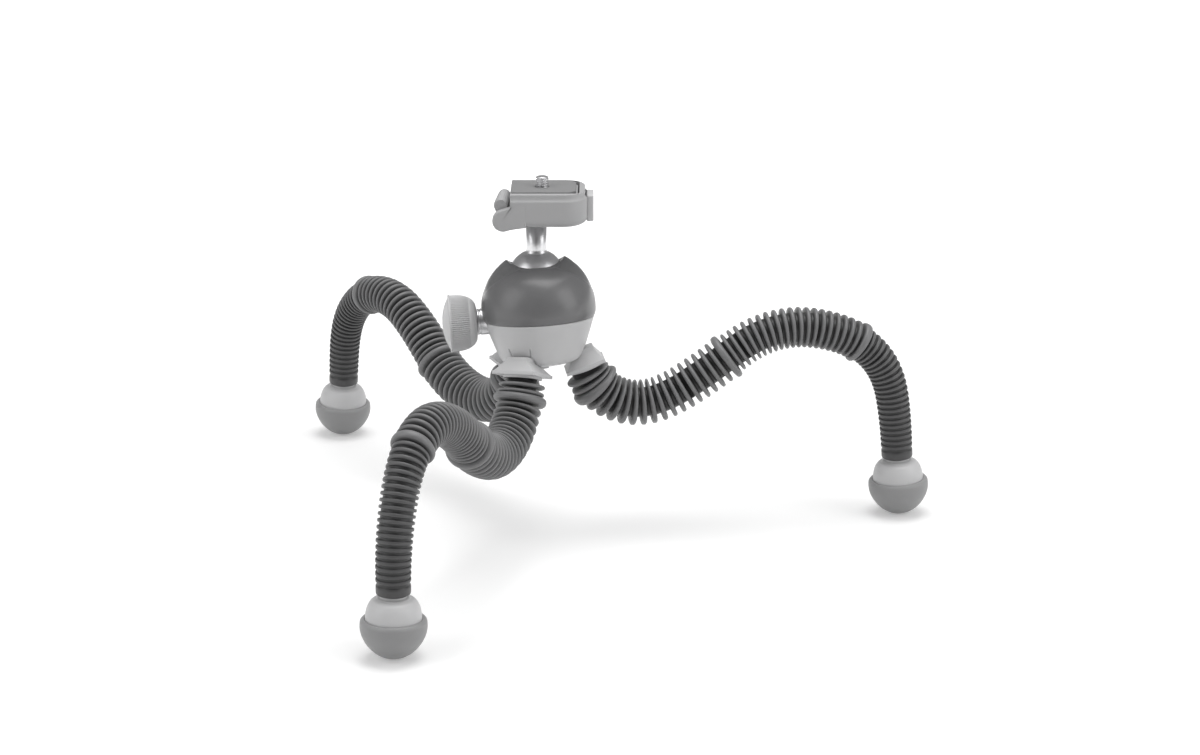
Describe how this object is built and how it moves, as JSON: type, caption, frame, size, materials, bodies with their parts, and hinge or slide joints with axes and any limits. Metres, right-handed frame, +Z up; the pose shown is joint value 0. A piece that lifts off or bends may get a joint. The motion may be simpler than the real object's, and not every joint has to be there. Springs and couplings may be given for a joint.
{
  "type": "flexible leg tripod",
  "caption": "Tabletop tripod with flexible ribbed rubber legs on ball feet, and a ball head that carries a camera clamp with a lever.",
  "frame": {"origin": "on the floor, in the middle of the box round the feet", "axes": "+Z up, -Y the front that the camera of the picture looks at, +X to the right"},
  "size_m": [0.3214, 0.3422, 0.1772],
  "materials": {
    "dark_gloss": "glossy near-black moulding",
    "light_cover": "satin light grey moulding",
    "inner_plastic": "moulded grey plastic",
    "cup_plastic": "slippery off-white plastic",
    "link_plastic": "black glass-filled plastic",
    "sleeve_rubber": "soft dark rubber",
    "foot_rubber": "soft dark grey rubber",
    "silver_paint": "satin silver paint on cast metal",
    "bright_metal": "polished bright metal",
    "steel": "plain steel",
    "pad_rubber": "thin grip pad",
    "brass_wedge": "plain brass"
  },
  "bodies": {
    "body": {"socket_dome": "dark_gloss", "lower_cover": "light_cover", "inner_frame": "inner_plastic", "ball_cup": "cup_plastic", "knob_boss": "bright_metal", "case_screws": "steel", "leg_anchors": "link_plastic", "right_leg_collar": "light_cover", "rear_leg_collar": "light_cover", "front_leg_collar": "light_cover"},
    "lock_knob": {"lock_knob": "light_cover", "knob_cap": "light_cover", "lock_screw": "steel"},
    "brake_wedge": {"brake_wedge": "brass_wedge"},
    "head_ball": {"head_ball": "bright_metal"},
    "ball_stem": {"ball_stem": "bright_metal", "stem_screw": "steel"},
    "camera_clamp": {"clamp_housing": "silver_paint", "camera_plate": "silver_paint", "grip_pad": "pad_rubber", "lever_pin": "steel", "button_spring": "steel"},
    "camera_screw": {"camera_screw": "bright_metal", "screw_clip": "steel"},
    "locking_lever": {"locking_lever": "silver_paint"},
    "release_button": {"release_button": "light_cover"},
    "right_leg_1": {"right_leg_links_1": "link_plastic", "right_leg_sleeve_upper": "sleeve_rubber"},
    "right_leg_2": {"right_leg_links_2": "link_plastic"},
    "right_leg_3": {"right_leg_links_3": "link_plastic", "right_leg_sleeve_middle": "sleeve_rubber"},
    "right_leg_4": {"right_leg_links_4": "link_plastic"},
    "right_leg_5": {"right_leg_links_5": "link_plastic", "right_leg_sleeve_lower": "sleeve_rubber"},
    "right_leg_6": {"right_leg_links_6": "link_plastic", "right_foot_neck": "light_cover", "right_foot_cap": "foot_rubber"},
    "rear_leg_1": {"rear_leg_links_1": "link_plastic", "rear_leg_sleeve_upper": "sleeve_rubber"},
    "rear_leg_2": {"rear_leg_links_2": "link_plastic"},
    "rear_leg_3": {"rear_leg_links_3": "link_plastic", "rear_leg_sleeve_middle": "sleeve_rubber"},
    "rear_leg_4": {"rear_leg_links_4": "link_plastic"},
    "rear_leg_5": {"rear_leg_links_5": "link_plastic", "rear_leg_sleeve_lower": "sleeve_rubber"},
    "rear_leg_6": {"rear_leg_links_6": "link_plastic", "rear_foot_neck": "light_cover", "rear_foot_cap": "foot_rubber"},
    "front_leg_1": {"front_leg_links_1": "link_plastic", "front_leg_sleeve_upper": "sleeve_rubber"},
    "front_leg_2": {"front_leg_links_2": "link_plastic"},
    "front_leg_3": {"front_leg_links_3": "link_plastic", "front_leg_sleeve_middle": "sleeve_rubber"},
    "front_leg_4": {"front_leg_links_4": "link_plastic"},
    "front_leg_5": {"front_leg_links_5": "link_plastic", "front_leg_sleeve_lower": "sleeve_rubber"},
    "front_leg_6": {"front_leg_links_6": "link_plastic", "front_foot_neck": "light_cover", "front_foot_cap": "foot_rubber"}
  },
  "joints": [
    {"name": "lock_knob_turn", "type": "hinge", "parent": "body", "child": "lock_knob", "pos_m": [-0.07231, 0.00996, 0.10521], "axis": [-0.996, -0.0759, -0.047], "range_deg": [0, 360]},
    {"name": "brake_wedge_slide", "type": "slide", "parent": "body", "child": "brake_wedge", "axis": [0.996, 0.0759, 0.047], "range_m": [0, 0.00104]},
    {"name": "ball_lean_front_back", "type": "hinge", "parent": "body", "child": "head_ball", "pos_m": [-0.03558, 0.0152, 0.12683], "axis": [0.996, 0.0759, 0.047], "range_deg": [-35, 21]},
    {"name": "stem_lean_sideways", "type": "hinge", "parent": "head_ball", "child": "ball_stem", "pos_m": [-0.03558, 0.0152, 0.12683], "axis": [-0.0696, 0.9901, -0.122], "range_deg": [-19, 13]},
    {"name": "clamp_pan", "type": "hinge", "parent": "ball_stem", "child": "camera_clamp", "pos_m": [-0.03558, 0.0152, 0.14683], "axis": [0, 0, 1], "continuous": true},
    {"name": "camera_screw_spin", "type": "hinge", "parent": "camera_clamp", "child": "camera_screw", "pos_m": [-0.03258, 0.0152, 0.17323], "axis": [0, 0, 1], "continuous": true},
    {"name": "locking_lever_swing", "type": "hinge", "parent": "camera_clamp", "child": "locking_lever", "pos_m": [-0.05158, 0.0152, 0.15923], "axis": [0, -1, 0], "range_deg": [0, 110]},
    {"name": "release_button_press", "type": "slide", "parent": "camera_clamp", "child": "release_button", "axis": [-1, 0, 0], "range_m": [0, 0.002], "stiffness_N_per_m": 300, "deforming": ["button_spring"]},
    {"name": "right_leg_bend_1", "type": "hinge", "parent": "body", "child": "right_leg_1", "pos_m": [-0.01034, 0.01084, 0.07704], "axis": [0.1219, -0.9925, 0], "range_deg": [-54, 9], "deforming": ["right_leg_sleeve_upper"]},
    {"name": "right_leg_sway_2", "type": "hinge", "parent": "right_leg_1", "child": "right_leg_2", "pos_m": [0.02045, 0.01463, 0.06332], "axis": [-0.3579, -0.0439, 0.9327], "range_deg": [-24, 24]},
    {"name": "right_leg_bend_3", "type": "hinge", "parent": "right_leg_2", "child": "right_leg_3", "pos_m": [0.05162, 0.01845, 0.08059], "axis": [0.1219, -0.9925, 0], "range_deg": [-34, 29]},
    {"name": "right_leg_sway_4", "type": "hinge", "parent": "right_leg_3", "child": "right_leg_4", "pos_m": [0.08234, 0.02222, 0.09833], "axis": [-0.0889, -0.0109, 0.996], "range_deg": [-29, 29], "deforming": ["right_leg_sleeve_middle"]},
    {"name": "right_leg_bend_5", "type": "hinge", "parent": "right_leg_4", "child": "right_leg_5", "pos_m": [0.1173, 0.02652, 0.09387], "axis": [0.1219, -0.9925, 0], "range_deg": [-18, 45]},
    {"name": "right_leg_sway_6", "type": "hinge", "parent": "right_leg_5", "child": "right_leg_6", "pos_m": [0.14004, 0.02931, 0.06764], "axis": [0.977, 0.12, 0.1761], "range_deg": [-29, 29], "deforming": ["right_leg_sleeve_lower"]},
    {"name": "rear_leg_bend_1", "type": "hinge", "parent": "body", "child": "rear_leg_1", "pos_m": [-0.04525, 0.02755, 0.07309], "axis": [0.788, 0.6157, 0], "range_deg": [-58, 5], "deforming": ["rear_leg_sleeve_upper"]},
    {"name": "rear_leg_sway_2", "type": "hinge", "parent": "rear_leg_1", "child": "rear_leg_2", "pos_m": [-0.06261, 0.04976, 0.05264], "axis": [0.0005, -0.0007, 1], "range_deg": [-26, 26]},
    {"name": "rear_leg_bend_3", "type": "hinge", "parent": "rear_leg_2", "child": "rear_leg_3", "pos_m": [-0.0841, 0.07727, 0.05946], "axis": [0.788, 0.6157, 0], "range_deg": [-42, 21]},
    {"name": "rear_leg_sway_4", "type": "hinge", "parent": "rear_leg_3", "child": "rear_leg_4", "pos_m": [-0.10207, 0.10027, 0.08044], "axis": [0.2895, -0.3706, 0.8825], "range_deg": [-31, 31], "deforming": ["rear_leg_sleeve_middle"]},
    {"name": "rear_leg_bend_5", "type": "hinge", "parent": "rear_leg_4", "child": "rear_leg_5", "pos_m": [-0.12318, 0.12729, 0.08776], "axis": [0.788, 0.6157, 0], "range_deg": [-16, 47]},
    {"name": "rear_leg_sway_6", "type": "hinge", "parent": "rear_leg_5", "child": "rear_leg_6", "pos_m": [-0.14056, 0.14953, 0.06704], "axis": [-0.5784, 0.7403, 0.3428], "range_deg": [-27, 27], "deforming": ["rear_leg_sleeve_lower"]},
    {"name": "front_leg_bend_1", "type": "hinge", "parent": "body", "child": "front_leg_1", "pos_m": [-0.04254, -0.01097, 0.07783], "axis": [-0.9397, 0.342, 0], "range_deg": [-37, 26], "deforming": ["front_leg_sleeve_upper"]},
    {"name": "front_leg_sway_2", "type": "hinge", "parent": "front_leg_1", "child": "front_leg_2", "pos_m": [-0.05145, -0.03544, 0.05534], "axis": [0.007, 0.0192, 0.9998], "range_deg": [-24, 24]},
    {"name": "front_leg_bend_3", "type": "hinge", "parent": "front_leg_2", "child": "front_leg_3", "pos_m": [-0.06296, -0.06707, 0.06577], "axis": [-0.9397, 0.342, 0], "range_deg": [-39, 24]},
    {"name": "front_leg_sway_4", "type": "hinge", "parent": "front_leg_3", "child": "front_leg_4", "pos_m": [-0.07297, -0.09457, 0.08665], "axis": [0.1401, 0.3848, 0.9123], "range_deg": [-31, 31], "deforming": ["front_leg_sleeve_middle"]},
    {"name": "front_leg_bend_5", "type": "hinge", "parent": "front_leg_4", "child": "front_leg_5", "pos_m": [-0.08479, -0.12705, 0.09246], "axis": [-0.9397, 0.342, 0], "range_deg": [-12, 51]},
    {"name": "front_leg_sway_6", "type": "hinge", "parent": "front_leg_5", "child": "front_leg_6", "pos_m": [-0.09299, -0.14957, 0.06719], "axis": [-0.325, -0.8928, 0.3119], "range_deg": [-31, 31], "deforming": ["front_leg_sleeve_lower"]}
  ],
  "couplings": [
    {"joint": "brake_wedge_slide", "follows": "lock_knob_turn", "m_per_rad": 0.00015915}
  ]
}
